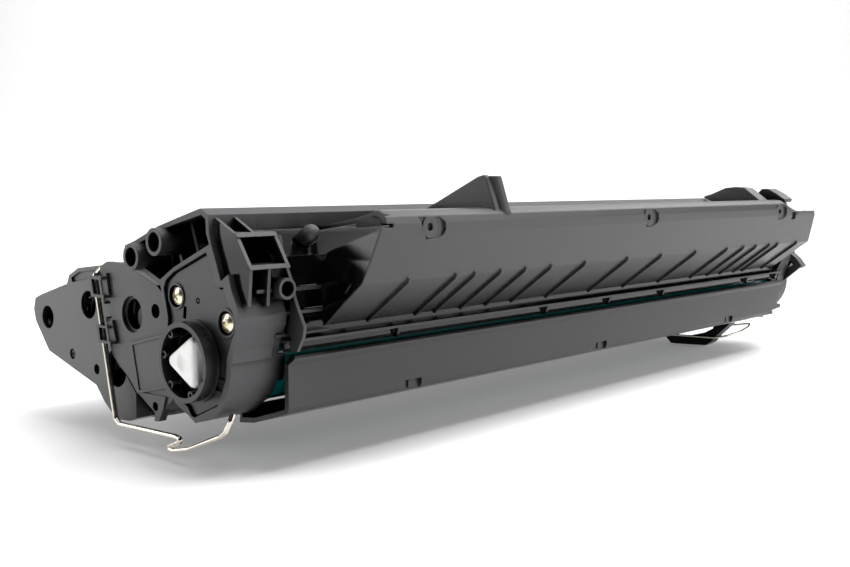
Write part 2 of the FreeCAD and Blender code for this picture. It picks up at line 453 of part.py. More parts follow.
# right end flange that stands out beyond the top
fl_r = prism([(-41.6, 38.6), (-43.3, 38.9), (-43.6, 37.2), (-40.6, 23.3), (-22.4, 9.6), (-21.4, 11.1), (-39.0, 24.4), (-41.8, 37.2)], GX1 - 22, GX1 + 1.0)
fl_r = fl_r.cut([prism_y([(GX1 - 0.6, 39.6), (GX1 + 2.0, 39.6), (GX1 + 2.0, 36.4), (GX1 + 0.9, 36.8)], -46, -20)])
gd = gd.cut([box(GX1 - 26.0, GX1 + 1, -46, -36, 38.7, 47), box(GX1 - 26.4, GX1 - 19.4, -46, -36, 35.2, 39.6), prism_y([(GX1 - 34.0, 46.0), (GX1 - 34.0, 43.6), (GX1 - 26.0, 38.7), (GX1 - 26.0, 46.0)], -46, -36)])
side = []
RIBS = [49.5, 71.3, 80.7, 94.1, 107.8, 122.7, 143.9, 172.9, 198.4, 227.1, 255.8, 271.9, 284.7, 298.8, 308.0, 329.9]
for xr in RIBS:
    side.append(prism([(-40.9, 22.2), (-41.6, 23.6), (-40.4, 24.6), (-38.0, 23.6), (-22.6, 11.4), (-22.4, 9.7), (-23.0, 8.9)], xr - 0.5, xr + 0.5))
# inner webs that tie the guide to the frame wall
for xr in (36.2, 60.0, 100.0, 140.0, 180.0, 220.0, 260.0, 300.0, 342.0):
    side.append(prism([(-41.6, 38.0), (-42.6, 37.4), (-39.6, 24.2), (-24.6, 12.9), (-24.6, 27.0), (-28.0, 30.5), (-36.5, 34.0)], xr + 1.0, xr + 2.4))
side.append(prism([(-40.6, 38.9), (-42.4, 37.6), (-42.2, 35.0), (-24.6, 26.0), (-24.6, 28.6)], 38.0, 341.0))
# gussets standing above the guide
g1 = prism([(-42.4, 42.6), (-41.8, 44.5), (-38.0, 54.6), (-36.8, 55.2), (-34.4, 54.6), (-11.1, 43.6), (-9.9, 42.6), (-9.9, 38.8), (-25.0, 38.4), (-41.0, 38.4)], 89.5, 91.7)
g1 = g1.fuse(rod((94.9, -40.9, 42.0), (93.7, -37.0, 56.0), 2.75).common(box(80, 100, -46, -20, 40.0, 54.9)))
g1 = g1.fuse(box(91.0, 94.0, -38.6, -36.0, 40.0, 54.4))
g1 = g1.cut([Part.makeCylinder(1.7, 4.0, V(93.8, -37.3, 52.6), V(0, 0, 1))])
g2 = prism([(-41.0, 38.4), (-38.6, 42.6), (-35.2, 44.1), (-26.9, 50.2), (-22.2, 50.8), (-16.9, 50.3), (-9.9, 47.4), (-5.0, 45.9), (-6.2, 45.1), (-9.3, 43.9), (-9.9, 43.0), (-9.9, 38.8), (-25.0, 38.4)], 300.6, 302.4)
g2 = g2.multiFuse([prism([(-35.2, 44.1), (-26.9, 50.2), (-22.2, 50.8), (-22.2, 49.6), (-26.6, 49.0), (-34.4, 43.0)], 302.2, 309.0),
                   prism([(-35.2, 44.1), (-26.9, 50.2), (-26.6, 47.0), (-34.4, 41.0)], 307.0, 308.4), prism([(-32.2, 41.0), (-30.2, 41.0), (-30.2, 46.8), (-32.2, 45.4)], 302.2, 308.4)])
g3 = prism([(-25.4, 47.6), (-27.6, 49.8), (-30.7, 49.8), (-35.4, 47.4), (-39.2, 44.8), (-41.0, 38.4), (-9.9, 38.8), (-9.9, 46.0)], 318.0, 319.6)
g3 = g3.multiFuse([prism([(-27.6, 49.8), (-30.7, 49.8), (-35.4, 47.4), (-39.2, 44.8), (-38.8, 43.4), (-35.2, 46.0), (-30.7, 48.4), (-27.6, 48.4)], 319.4, 327.0), prism([(-34.6, 40.0), (-33.4, 40.0), (-33.4, 47.8), (-34.6, 47.2)], 319.4, 326.0)])
g4 = prism([(-37.0, 38.5), (-30.0, 42.0), (-9.9, 43.0), (-9.9, 38.5)], 336.0, 339.0)
webt = prism([(-41.0, 38.4), (-9.9, 38.4), (-9.9, 40.0), (-41.2, 40.0)], 88.0, 98.0)
webt2 = prism([(-41.0, 37.6), (-9.9, 37.6), (-9.9, 39.2), (-41.2, 38.6)], 298.0, 340.0)
gd = gd.multiFuse(side + [g_endw, g_wing, fl_r, g1, g2, g3, g4, webt, webt2])
# screw recesses on the face
for xs in (56.5, 184.5, 304.5):
    gd = gd.cut([prism_y([(xs - 5.4, 42.2), (xs - 2.0, 35.5), (xs + 3.4, 35.5), (xs + 5.6, 36.6), (xs + 6.8, 38.4), (xs + 6.4, 40.6), (xs + 4.4, 42.2)], -46.0, -42.8)])
    gd = gd.fuse(Part.makeCylinder(3.4, 1.77, V(xs, -43.2, 39.2), V(0, 1, 0)))
    gd = gd.cut(Part.makeCylinder(1.25, 1.2, V(xs, -43.4, 39.2), V(0, 1, 0)))
# step at the left end
gd = gd.cut([prism_y(GX_CUT + [(28.0, 8.0), (28.0, 50.0)], -46.0, -18.0), box(36.0, 40.0, -46.0, -41.0, 39.5, 40.7)])
put("paper_guide", gd)
gs = []
for xs in (46.0, 240.0, 326.0):
    gs.append(Part.makeCylinder(2.3, 1.2, V(xs, -22.3, 18.5), V(0, -1, 0)).fuse(Part.makeCylinder(1.2, 5.0, V(xs, -22.3, 18.5), V(0, 1, 0))))
tabs = []
for xs in (46.0, 240.0, 326.0):
    tabs.append(box(xs - 4.5, xs + 4.5, -22.25, -19.35, 14.0, 23.0))
    tabs.append(prism([(-22.2, 14.0), (-22.2, 15.4), (-34.0, 21.6), (-34.8, 20.4), (-24.0, 12.2)], xs - 4.5, xs + 4.5))
gd = OUT["paper_guide"].multiFuse(tabs)
gd = gd.cut([Part.makeCylinder(1.3, 8.0, V(xs, -24.0, 18.5), V(0, 1, 0)) for xs in (46.0, 240.0, 326.0)])
put("paper_guide", gd)
OUT["drum_frame"] = OUT["drum_frame"].cut([Part.makeCylinder(1.25, 5.0, V(xs, -20.0, 18.5), V(0, 1, 0)) for xs in (46.0, 240.0, 326.0)])
put("guide_screws", Part.makeCompound(gs))

# ---------------------------------------------------------------- hopper
h_sec = [(31.0, 12.6), (31.0, 20.0), (45.0, 22.8), (59.0, 24.6), (60.0, 24.0), (60.0, 20.6), (62.0, 20.2), (62.0, 18.4), (57.6, 19.2), (57.4, 22.2), (45.0, 20.6), (33.0, 18.2), (33.0, 12.6)]
low_sec = [(16.3, -17.2), (24.0, -16.2), (31.5, -12.4), (36.0, -9.2), (38.0, -9.6), (40.0, -22.6), (49.0, -24.9), (55.0, -25.3), (59.0, -23.9),
           (63.4, -21.0), (68.8, -15.4), (101.5, -6.8), (109.9, 2.5), (110.6, 5.5), (109.6, 7.4), (104.0, 8.6), (104.2, 10.6), (106.4, 10.3), (107.0, 10.6), (111.5, 9.5),
           (112.9, 5.9), (111.8, 1.7), (102.4, -8.8), (69.9, -17.4), (64.6, -22.7), (59.8, -25.9), (55.0, -27.4),
           (49.0, -27.0), (37.4, -24.6), (23.0, -21.0), (16.2, -19.3)]
hop = prism(h_sec, 16.5, LEN - 16.5).fuse(prism(low_sec, 16.5, LEN - 16.5))
END_W = [(31.0, 20.0), (45.0, 22.8), (59.0, 24.6), (60.0, 21.9), (66.0, 20.3), (79.4, 18.4), (87.4, 13.4), (104.0, 8.8), (107.0, 10.6), (111.5, 9.5),
         (112.9, 5.9), (111.8, 1.7), (102.4, -8.8), (69.9, -17.4), (64.6, -22.7), (59.8, -25.9), (55.0, -27.4),
         (49.0, -27.0), (37.4, -24.6), (23.0, -21.0), (16.2, -19.3), (16.3, -12.0), (16.9, -6.0), (17.6, 1.0), (24.0, 5.2), (31.0, 12.6)]
EAR = [(31.0, 20.0), (31.0, 24.5), (33.0, 29.0), (31.4, 33.2), (27.3, 34.6), (23.4, 33.0), (22.2, 29.6), (23.6, 26.0), (27.0, 23.0), (29.0, 18.0)]
ends = []
for x0, x1 in ((16.5, 18.7), (LEN - 18.7, LEN - 16.5)):
    ends.append(prism(END_W, x0, x1))
for x0, x1 in ((17.3, 20.6), (LEN - 20.6, LEN - 17.3)):
    ends.append(prism(EAR, x0, x1))
    ends.append(prism([(29.0, 12.6), (33.0, 12.6), (33.0, 24.0), (29.0, 21.0)], x0, x1))
hop = hop.multiFuse(ends)
# stub posts for idler gear, bearings for agitator and sleeve
hop = hop.multiFuse([cyl(IDL_Y, IDL_Z, 4.0, 8.2, 16.6), cyl(AG_Y, AG_Z, 5.2, 15.4, 22.0), cyl(AG_Y, AG_Z, 6.0, LEN - 20.0, LEN - 14.4)])
hop = hop.cut([cyl(DEV_Y, DEV_Z, 5.06, 15.0, 20.0), cyl(DEV_Y, DEV_Z, 5.06, LEN - 20.0, LEN - 15.0), cyl(AG_Y, AG_Z, 3.06, 10.0, 25.0),
               cyl(AG_Y, AG_Z, 3.06, LEN - 25.0, LEN - 16.0),
               cyl(T1[0], T1[1], 2.5, 10.0, 25.0), cyl(T1[0], T1[1], 2.5, LEN - 25.0, LEN - 10.0), cyl(IDL_Y, IDL_Z, 1.5, 5.0, 14.0),
               cyl(102.5, 3.0, 3.4, 15.0, 20.0)])
put("toner_hopper", hop)
lid = prism([(60.2, 24.0), (66.0, 22.6), (80.0, 20.6), (88.0, 15.6), (104.0, 11.6), (104.0, 9.1), (87.4, 13.6), (79.4, 18.6), (66.0, 20.5), (60.2, 22.1)], 16.5, LEN - 16.5)
lr = [prism([(x_[0], x_[1]) for x_ in [(66.0, 22.4), (66.0, 23.4), (80.0, 21.4), (80.0, 20.4)]], xx - 0.8, xx + 0.8) for xx in (70.0, 130.0, 186.5, 243.0, 303.0)]
lid = lid.multiFuse(lr + [box(20.0, LEN - 20.0, 70.0, 71.6, 20.0, 22.9)])
put("hopper_lid", lid)
put("fill_plug", fuse([cyl(102.5, 3.0, 3.3, 15.0, 19.5), cyl(102.5, 3.0, 4.1, 14.2, 16.3)]).cut(cyl(102.5, 3.0, 2.2, 13.0, 17.5)))

# hinge pins through frame tubes and hopper ears
put("hinge_pins", Part.makeCompound([cyl(T1[0], T1[1], 2.45, 7.4, 20.4), cyl(T1[0], T1[1], 2.45, LEN - 20.4, LEN - 7.4)]))

# ---------------------------------------------------------------- developer roller
slv = tube(DEV_Y, DEV_Z, SLEEVE_R, 7.2, 21.2, LEN - 21.2)
put("developer_sleeve", slv)
ph_dev = DIR_DEV + math.pi + math.pi / Z_DEV
fl_l = fuse([cyl(DEV_Y, DEV_Z, 7.15, 21.0, 27.0), cyl(DEV_Y, DEV_Z, 5.0, GEAR_X0, 21.5), gear(DEV_Y, DEV_Z, Z_DEV, GEAR_X0, GEAR_X1, ph_dev)])
fl_l = fl_l.cut(cyl(DEV_Y, DEV_Z, 3.1, 5.0, 28.0))
put("developer_gear", fl_l)
fl_rr = fuse([cyl(DEV_Y, DEV_Z, 7.15, LEN - 27.0, LEN - 21.0), cyl(DEV_Y, DEV_Z, 5.0, LEN - 21.5, LEN - 13.5)]).cut(cyl(DEV_Y, DEV_Z, 3.1, LEN - 28.0, LEN))
put("developer_end_flange", fl_rr)
put("magnet_core", fuse([cyl(DEV_Y, DEV_Z, 6.4, 28.0, LEN - 28.0), cyl(DEV_Y, DEV_Z, 3.0, 8.2, LEN - 10.0)]))
# doctor blade above the sleeve
put("doctor_blade_bracket", prism([(30.9, 12.55), (30.9, 11.35), (34.5, 11.35), (34.5, 6.0), (35.7, 6.0), (35.7, 12.55)], 22.0, LEN - 22.0))
put("doctor_blade", prism([(30.8, 11.3), (30.8, 9.9), (25.6, 4.2), (26.7, 3.4), (32.6, 9.6), (34.4, 9.6), (34.4, 11.3)], 24.0, LEN - 24.0))

# ---------------------------------------------------------------- agitator
agi = fuse([cyl(AG_Y, AG_Z, 3.0, 10.9, 24.0), cyl(AG_Y, AG_Z, 3.0, LEN - 24.0, LEN - 16.2),
            box(23.0, LEN - 23.0, AG_Y - 2.4, AG_Y + 2.4, AG_Z - 2.0, AG_Z + 2.0)])
put("agitator_shaft", agi)
put("agitator_film", box(26.0, LEN - 26.0, AG_Y + 2.45, AG_Y + 2.7, AG_Z - 13.5, AG_Z + 1.5).fuse(box(26.0, LEN - 26.0, AG_Y + 2.4, AG_Y + 3.0, AG_Z - 1.2, AG_Z + 1.2)))
ph_id_dev = IDL_DIR + math.pi
# idler tooth phase: gap facing the developer gear tooth
n_t = (IDL_DIR - ph_dev) / (2 * math.pi / Z_DEV)
frac = n_t - math.floor(n_t)
ph_idl = IDL_DIR + math.pi + (math.pi / Z_IDLER) + frac * (2 * math.pi / Z_IDLER)
idl = gear(IDL_Y, IDL_Z, Z_IDLER, GEAR_X0, GEAR_X1, ph_idl).cut(cyl(IDL_Y, IDL_Z, 4.06, 0, 20))
idl = idl.cut([tube(IDL_Y, IDL_Z, 10.0, 6.0, GEAR_X0 - 1, GEAR_X0 + 1.2)])
put("idler_gear", idl)
n_t2 = (AG_DIR - ph_idl) / (2 * math.pi / Z_IDLER)
frac2 = n_t2 - math.floor(n_t2)
ph_ag = AG_DIR + math.pi + (math.pi / Z_AGIT) + frac2 * (2 * math.pi / Z_AGIT)
agg = gear(AG_Y, AG_Z, Z_AGIT, GEAR_X0, GEAR_X1, ph_ag)
agg = agg.cut([tube(AG_Y, AG_Z, 12.0, 6.0, GEAR_X0 - 1, GEAR_X0 + 1.2), cyl(AG_Y, AG_Z, 3.03, 5, 20)])
put("agitator_gear", agg)

# ---------------------------------------------------------------- end covers
B_OUT = [(60.6, 22.0), (59.9, 24.7), (55.6, 26.5), (45.0, 26.4), (26.4, 20.4), (22.8, 17.9), (21.9, 13.5), (21.0, 4.0), (19.6, -8.0),
         (18.4, -14.5), (24.4, -19.6), (28.2, -20.5), (34.6, -15.8), (39.1, -15.8), (43.4, -11.6), (50.2, -7.3), (53.6, -4.5), (55.6, -0.2), (56.7, 5.5), (58.2, 13.0)]
B_BACK = [(51.4, 26.45), (45.0, 26.4), (26.4, 20.4), (22.8, 17.9), (21.9, 13.5), (21.0, 4.0), (19.6, -8.0), (18.4, -14.5), (24.4, -19.6), (28.2, -20.5),
          (34.6, -15.8), (39.1, -15.8), (43.4, -11.6), (50.2, -7.3), (50.6, -6.0), (50.6, 24.0)]
b = prism(B_OUT, 5.0, 7.2)
wall_b = prism(B_BACK, 7.0, 16.0).cut(prism(offset_poly(B_BACK, 1.4), 6.0, 17.0))
wall_b = wall_b.cut([box(6.0, 17.0, 49.0, 52.0, -6.5, 24.0)])
b = b.fuse(wall_b)
# keep clear of the drum gear and the frame
b = b.cut([cyl(0, 0, 16.9, 7.3, 17.0), cyl(0, 0, 12.9, 4.0, 8.0), cyl(DEV_Y, DEV_Z, 9.7, 8.0, 17.0)])
bt_pts = [(41.2, 0.8), (22.3, 5.4), (18.5, -11.0), (37.4, -15.4)]
b = b.fuse(prism(bt_pts, 4.2, 5.2))
b = b.cut([prism(offset_poly(bt_pts, 0.9), 3.9, 4.55)])
b = b.fuse(prism([(28.2, -20.4), (36.6, -15.9), (38.4, -15.0), (22.0, -14.6), (23.6, -19.0), (26.0, -23.0), (28.6, -23.2)], 4.4, 7.0))
# stepped hole over the idler gear, smaller holes
b = b.cut([cyl(41.0, 10.0, 6.0, 3.0, 6.2), cyl(41.0, 10.0, 5.0, 3.0, 8.0), cyl(55.4, 10.4, 3.1, 3.0, 8.0), cyl(27.4, 12.2, 2.3, 3.0, 8.0),
           cyl(27.8, -18.4, 1.5, 3.0, 8.0)])
# two clips that hold the spring wire
clip = [prism([(57.8, 21.9), (54.6, 22.8), (53.1, 15.2), (56.3, 14.7)], 4.0, 5.2), prism([(54.8, 6.4), (51.7, 7.3), (49.6, 0.5), (53.3, -0.2)], 4.0, 5.2)]
for q in ([(62.9, 21.2), (61.2, 21.5), (59.6, 14.8), (61.3, 14.4)], [(59.0, 5.2), (57.3, 5.5), (56.2, -0.4), (58.0, -0.8)]):
    clip.append(prism(q, 2.2, 3.0))
for (z0, z1, ya, yb) in ((20.6, 21.6, 54.8, 62.6), (14.6, 15.6, 53.4, 61.2), (4.6, 5.4, 51.8, 58.6), (-0.5, 0.4, 50.0, 57.9)):
    clip.append(box(2.2, 3.0, ya, yb, z0, z1))
    clip.append(box(2.2, 5.2, ya, ya + 1.2, z0, z1))
b = b.multiFuse(clip)
put("gear_cover_left", b)

A_PL = [(58.6, 24.4), (65.7, 24.5), (79.8, 22.9), (86.2, 20.0), (87.9, 16.8), (106.7, 11.7), (111.5, 10.0), (112.9, 5.9), (111.8, 1.7),
        (102.4, -8.8), (69.9, -17.4), (64.6, -22.7), (59.8, -25.9), (55.0, -27.4), (49.0, -27.0), (44.8, -25.4), (44.8, -17.0), (51.0, -11.0), (52.4, -4.0), (52.4, 24.3)]
a = prism(A_PL, 8.0, 10.0)
wall_a = prism(A_PL, 9.8, 16.2).cut(prism(offset_poly(A_PL, 1.5), 9.0, 17.0))
wall_a = wall_a.cut([box(9.8, 17.0, 43.0, 54.4, -18.0, 22.4)])
a = a.fuse(wall_a)
# recessed lip along the top of the cover
a = a.cut([prism([(64.0, 23.2), (79.2, 21.6), (84.8, 19.2), (84.0, 17.6), (66.4, 20.4)], 7.0, 8.8)])
a = a.cut([cyl(102.5, 3.6, 4.2, 7.0, 11.0), cyl(73.5, 10.4, 4.9, 7.0, 11.0), cyl(85.4, -8.2, 1.9, 7.0, 9.0), cyl(85.4, -8.2, 1.15, 7.0, 11.0), cyl(69.2, -11.8, 1.8, 7.0, 11.0), cyl(56.6, -10.0, 6.4, 7.0, 11.0)])
a = a.cut([cyl(41.0, 10.0, 13.0, 7.9, 11.0)])
put("hopper_cover_left", a)

ar_pl = [(31.2, 24.4), (45.0, 25.6), (59.0, 24.6), (65.7, 24.5), (79.8, 22.9), (86.2, 20.0), (87.9, 16.8), (106.7, 11.7), (111.5, 10.0), (112.9, 5.9), (111.8, 1.7),
         (102.4, -8.8), (69.9, -17.4), (64.6, -22.7), (59.8, -25.9), (55.0, -27.4), (49.0, -27.0), (37.4, -24.6), (23.0, -21.0), (17.4, -17.4), (18.6, -2.0), (22.4, 6.0), (27.0, 14.0)]
ac = prism(ar_pl, LEN - 10.0, LEN - 8.0)
wall_r = prism(ar_pl, LEN - 16.2, LEN - 9.8).cut(prism(offset_poly(ar_pl, 1.5), LEN - 17, LEN - 9))
ac = ac.fuse(wall_r).cut([cyl(0, 0, 16.9, LEN - 17.0, LEN - 7.0), cyl(66.0, 3.6, 5.0, LEN - 9.0, LEN - 7.0), cyl(95.0, 2.0, 1.7, LEN - 11.0, LEN - 7.0), cyl(55.0, -12.0, 1.7, LEN - 11.0, LEN - 7.0),
                         cyl(DEV_Y, DEV_Z, 3.05, LEN - 17.0, LEN - 7.0), cyl(DEV_Y, DEV_Z, 5.6, LEN - 17.0, LEN - 13.0), cyl(PIVOT_Y, PIVOT_Z, 3.2, LEN - 11.0, LEN - 7.0)])
put("hopper_cover_right", ac)
put("cover_screw_black", pan_screw(9.0, 85.4, -8.2, 1.5, 0.8, 1.4, 1.0, -1, 0.4))
cs = [pan_screw(LEN - 8.0, 95.0, 2.0, 2.6, 1.3, 9.5, 1.6, 1, 0.4), pan_screw(LEN - 8.0, 55.0, -12.0, 2.6, 1.3, 9.5, 1.6, 1, 0.9)]
put("cover_screws", Part.makeCompound(cs))
OUT["toner_hopper"] = OUT["toner_hopper"].cut([cyl(95.0, 2.0, 1.35, LEN - 18.2, LEN - 14.0), cyl(55.0, -12.0, 1.35, LEN - 18.2, LEN - 14.0)])

# ---------------------------------------------------------------- drum shutter
SX0, SX1 = 17.2, 354.0
S_SEC = [(-20.8, 1.7), (-22.9, 1.7), (-23.6, 1.0), (-23.6, 0.3), (-22.6, -1.0), (-22.6, -14.0), (-21.8, -15.6), (-6.0, -20.6), (2.0, -21.6),
         (2.0, -20.0), (-6.2, -19.0), (-20.6, -14.4), (-20.8, -13.4), (-20.8, -1.6), (-21.2, 0.6)]
sh = prism(S_SEC, SX0, SX1)
sh = sh.cut(prism_y([(SX0 - 1.0, -0.6), (SX0, -0.6), (SX0 + 3.4, 3.0), (SX0 - 1.0, 3.0)], -25.0, -19.0))
# end bumps at the right, corner cut, small feet under the lower edge
sh = sh.multiFuse([prism([(-22.6, -1.0), (-20.8, -1.0), (-20.8, -4.2), (-22.6, -4.2)], SX1 - 1, SX1 + 3.6),
                   prism([(-22.6, -11.0), (-20.8, -11.0), (-20.8, -12.8), (-22.6, -12.8)], SX1 - 1, SX1 + 1.0)])
sh = sh.cut([prism_y([(SX1 - 1.4, -4.4), (SX1 - 3.0, -10.8), (SX1 + 2.0, -10.8), (SX1 + 2.0, -4.4)], -24, -20), prism_y([(SX1 - 26.0, -16.6), (SX1 - 7.0, -13.4), (SX1 + 2.0, -12.7), (SX1 + 2.0, -16.6)], -24, -19.0)])
for xs in (70.6, 183.4, 296.0):
    sh = sh.cut([prism_y([(xs - 5.0, -17.0), (xs - 3.6, -12.2), (xs + 4.2, -12.2), (xs + 4.2, -17.0)], -24.0, -21.4)])
    sh = sh.fuse(prism_y([(xs - 1.6, -15.0), (xs - 1.6, -11.8), (xs + 1.2, -11.8), (xs + 1.2, -15.0)], -22.0, -21.0))
for xs in (40.0, 100.0, 160.0, 220.0, 280.0, 340.0):
    sh = sh.fuse(prism([(-20.9, -3.0), (-20.2, -4.0), (-20.0, -12.6), (-17.2, -15.2), (-17.0, -15.6), (-20.7, -14.6)], xs - 0.6, xs + 0.6))
# low rim along the back edge of the bottom flange
sh = sh.fuse(prism([(0.8, -20.9), (0.8, -16.4), (-0.2, -16.4), (-0.2, -20.2)], SX0, SX1 - 14.0))
# arms from the shutter ends back to the pivots
arm_r = prism([(-7.0, -20.6), (2.0, -22.0), (12.0, -22.4), (24.0, -21.6), (34.6, -16.4), (46.6, -6.0), (45.2, -2.4), (41.5, -1.0), (37.8, -2.4), (36.4, -6.0),
               (30.4, -12.4), (22.0, -17.0), (12.0, -18.6), (2.0, -19.6), (-6.8, -19.0)], LEN - 7.0, LEN - 4.2)
FX0, FX1 = 334.0, 341.0
foot_out = [(-4.6, -21.2), (3.0, -28.4), (6.4, -32.4), (9.2, -34.2), (27.0, -35.0), (29.8, -35.0), (32.4, -32.6), (34.9, -30.0), (34.0, -29.2)]
foot = prism(foot_out + [(31.8, -30.8), (21.4, -30.5), (9.6, -27.2), (5.0, -24.6), (4.6, -21.9), (2.2, -21.95)], FX0, FX0 + 1.6)
foot2 = prism(foot_out + [(31.8, -31.6), (26.0, -33.2), (9.8, -32.6), (7.0, -31.0), (-1.6, -21.6)], FX0 + 1.5, FX1)
foot3 = prism(foot_out + [(31.8, -30.8), (21.4, -31.4), (9.6, -30.0), (5.0, -26.0), (0.2, -21.7)], FX1 - 1.4, FX1)
feet = [prism([(xx, -34.6), (xx + 0.9, -34.6), (xx + 0.9, -31.0), (xx, -30.9)], FX0 + 1.5, FX1 - 1.0) for xx in (12.0, 17.6, 23.2)]
bar_x = box(FX0, LEN - 4.2, 2.3, 5.2, -22.9, -19.6)
tongue = prism([(-6.3, -18.85), (1.8, -19.85), (2.3, -19.9), (5.2, -19.9), (5.2, -19.2), (2.6, -19.2), (-6.0, -18.2)], SX1 - 12.0, LEN - 4.2)
sh_r = fuse([arm_r, foot, foot2, foot3, bar_x, tongue] + feet + [cyl(PIVOT_Y, PIVOT_Z, 4.6, LEN - 7.0, LEN - 2.6)])
sh_r = sh_r.cut([cyl(PIVOT_Y, PIVOT_Z, 2.56, LEN - 8.0, LEN)])
sh = sh.cut([box(15, 30, 1, 5, -25, -15), box(328.6, 331.4, -16.6, -11.6, -20.5, -16.6)])
put("drum_shutter", sh)
put("shutter_arm", sh_r)
put("shutter_pivot_pin", fuse([cyl(PIVOT_Y, PIVOT_Z, 2.5, LEN - 12.0, LEN - 1.8), cyl(PIVOT_Y, PIVOT_Z, 3.6, LEN - 2.2, LEN - 1.4), cyl(PIVOT_Y, PIVOT_Z, 3.1, LEN - 12.0, LEN - 7.4)]))


SPX = LEN - 3.85
tp = [(SPX, PIVOT_Y - 7.0, PIVOT_Z - 5.1), (SPX, PIVOT_Y - 3.5, PIVOT_Z - 5.1)]
for k in range(25):
    t = -math.pi / 2 + 2 * math.pi * k / 12
    tp.append((SPX + 1.0 * k / 24, PIVOT_Y + 5.1 * math.cos(t), PIVOT_Z + 5.1 * math.sin(t)))
tp += [(SPX + 1.0, PIVOT_Y + 4.0, PIVOT_Z - 5.1), (SPX + 1.0, PIVOT_Y + 8.0, PIVOT_Z - 5.1)]
tsp = curve_rod(tp, 0.24)
put("shutter_spring", tsp)

# ---------------------------------------------------------------- spring wires at both ends
XW = 4.0
wire_l = [(XW + 3.0, 62.0, 24.2), (XW, 61.7, 21.6), (XW, 59.7, 14.6), (XW, 57.4, 4.9), (XW, 56.4, -1.0), (XW, 51.0, -25.7), (XW, 48.6, -27.3), (XW, 16.4, -26.3), (XW, 12.6, -26.8),
          (XW, 19.6, -29.8), (XW, 19.8, -30.7), (XW, 17.6, -31.0), (XW, 9.2, -29.0), (XW, -7.0, -22.5), (XW, -9.7, -20.5), (XW + 0.4, -11.3, -17.3), (XW + 1.6, -11.0, -15.4)]
put("side_wire", rod_path(wire_l, WIRE_R))
wire_r = [(344.0, 2.9, -23.5), (346.0, -1.6, -23.3), (350.0, -8.6, -22.3), (348.6, -8.0, -24.0), (346.6, -5.0, -26.4), (338.0, -0.9, -28.6), (333.0, 3.6, -29.4), (333.0, 12.0, -29.9), (333.0, 31.5, -30.3)]
put("foot_wire", rod_path(wire_r, 0.55))

# ---------------------------------------------------------------- contacts
put("charge_contact", box(LEN - 9.7, LEN - 9.2, -1.7, 7.6, 14.4, 27.6))
put("drum_contact_plate", box(LEN - 1.6, LEN - 1.1, -4.6, 4.6, -13.0, -10.0))

# ---------------------------------------------------------------- write files
SHIFT = V(-XC, -YC, ZB)
order = sorted(OUT)
gbb = None
for name in order:
    s = OUT[name].copy()
    s.translate(SHIFT)
    s = s.removeSplitter() if len(s.Solids) == 1 else s
    bb = s.BoundBox
    gbb = bb if gbb is None else gbb.united(bb)
    s.exportStep("parts/%s.step" % name)
    print("%-26s solids %d faces %4d valid %s vol %.0f box [%.1f %.1f] [%.1f %.1f] [%.1f %.1f]" % (
        name, len(s.Solids), len(s.Faces), s.isValid(), s.Volume, bb.XMin, bb.XMax, bb.YMin, bb.YMax, bb.ZMin, bb.ZMax))
print("ALL box [%.2f %.2f] [%.2f %.2f] [%.2f %.2f]" % (gbb.XMin, gbb.XMax, gbb.YMin, gbb.YMax, gbb.ZMin, gbb.ZMax))
print("DEV", DEV_Y, DEV_Z, "IDL", IDL_Y, IDL_Z, "AG", AG_Y, AG_Z, "CH", CH_Y, CH_Z)
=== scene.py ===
import bpy
import json
import math
from mathutils import Matrix, Vector

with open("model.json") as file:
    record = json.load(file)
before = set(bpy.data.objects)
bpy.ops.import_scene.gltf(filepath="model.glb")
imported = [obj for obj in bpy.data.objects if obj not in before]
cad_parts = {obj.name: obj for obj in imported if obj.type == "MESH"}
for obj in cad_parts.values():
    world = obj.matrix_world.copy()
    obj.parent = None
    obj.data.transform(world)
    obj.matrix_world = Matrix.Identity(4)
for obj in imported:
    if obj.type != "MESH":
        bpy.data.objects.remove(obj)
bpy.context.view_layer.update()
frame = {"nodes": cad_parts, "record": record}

N = frame["nodes"]
SLOT = {r["node"]: r["material_slot"] for r in frame["record"]["subparts"]}

# local design numbers, mm: x from the near rim, y and z from the drum axis
XC, YC, ZB, LEN = 186.09, 34.5, 35.0, 373.0


def P(x, y, z):
    return Vector(((x - XC) / 1000.0, (y - YC) / 1000.0, (z + ZB) / 1000.0))


# ------------------------------------------------------------------ materials
def new_mat(name):
    m = bpy.data.materials.new(name)
    m.use_nodes = True
    nt = m.node_tree
    for n in list(nt.nodes):
        nt.nodes.remove(n)
    out = nt.nodes.new("ShaderNodeOutputMaterial")
    bsdf = nt.nodes.new("ShaderNodeBsdfPrincipled")
    nt.links.new(bsdf.outputs["BSDF"], out.inputs["Surface"])
    return m, nt, bsdf


def tex_coord(nt):
    return nt.nodes.new("ShaderNodeTexCoord").outputs["Object"]


def noise(nt, vec, scale, detail=3.0, rough=0.55):
    n = nt.nodes.new("ShaderNodeTexNoise")
    n.inputs["Scale"].default_value = scale
    n.inputs["Detail"].default_value = detail
    n.inputs["Roughness"].default_value = rough
    nt.links.new(vec, n.inputs["Vector"])
    return n.outputs["Fac"]


def ramp(nt, fac, p0, c0, p1, c1):
    r = nt.nodes.new("ShaderNodeMapRange")
    r.inputs["From Min"].default_value = p0
    r.inputs["From Max"].default_value = p1
    r.inputs["To Min"].default_value = c0
    r.inputs["To Max"].default_value = c1
    nt.links.new(fac, r.inputs["Value"])
    return r.outputs["Result"]


def mix_col(nt, fac, a, b):
    m = nt.nodes.new("ShaderNodeMix")
    m.data_type = "RGBA"
    if isinstance(fac, float):
        m.inputs[0].default_value = fac
    else:
        nt.links.new(fac, m.inputs[0])
    for i, c in ((6, a), (7, b)):
        if isinstance(c, (tuple, list)):
            m.inputs[i].default_value = (c[0], c[1], c[2], 1.0)
        else:
            nt.links.new(c, m.inputs[i])
    return m.outputs[2]


